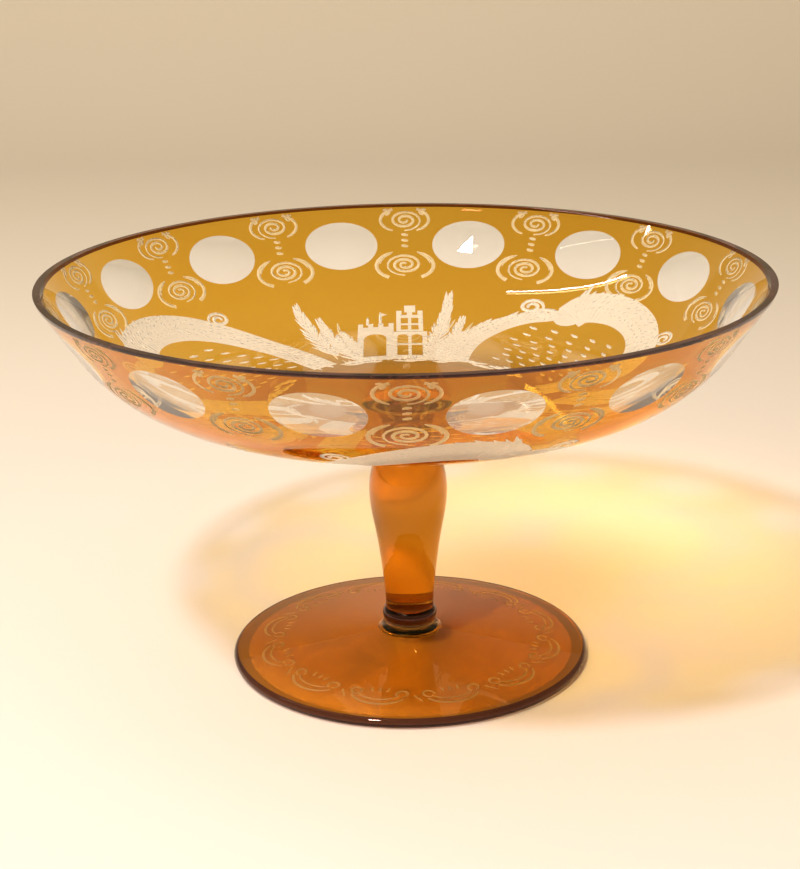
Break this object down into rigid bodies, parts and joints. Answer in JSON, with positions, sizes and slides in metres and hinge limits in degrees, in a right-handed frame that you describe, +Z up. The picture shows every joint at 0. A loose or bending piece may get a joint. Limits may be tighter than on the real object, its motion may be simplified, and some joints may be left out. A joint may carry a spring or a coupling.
{
  "type": "footed glass compote",
  "caption": "Footed amber glass compote: wide cut-to-clear bowl with oval windows and engraved scrolls on a baluster stem and a domed round foot",
  "frame": {"origin": "centre of the foot's resting plane: the origin lies on the object's axis, at the height of the surface that it stands on", "axes": "+Z up along the axis of the stem; +X and +Y are level; a gap between two cut windows faces -Y, and its pair faces +Y"},
  "size_m": [0.24, 0.24, 0.134],
  "materials": {
    "clear_glass": "polished colourless crystal",
    "amber_layer": "thin polished amber layer, cut and engraved through to the crystal",
    "amber_glass": "fire-polished amber glass"
  },
  "bodies": {
    "root": {"bowl_crystal": "clear_glass", "bowl_amber_layer": "amber_layer", "bowl_button": "amber_glass", "stem": "amber_glass", "stem_collar": "amber_glass", "foot_hub": "amber_glass", "foot_crystal": "clear_glass", "foot_amber_layer": "amber_layer"}
  },
  "joints": []
}
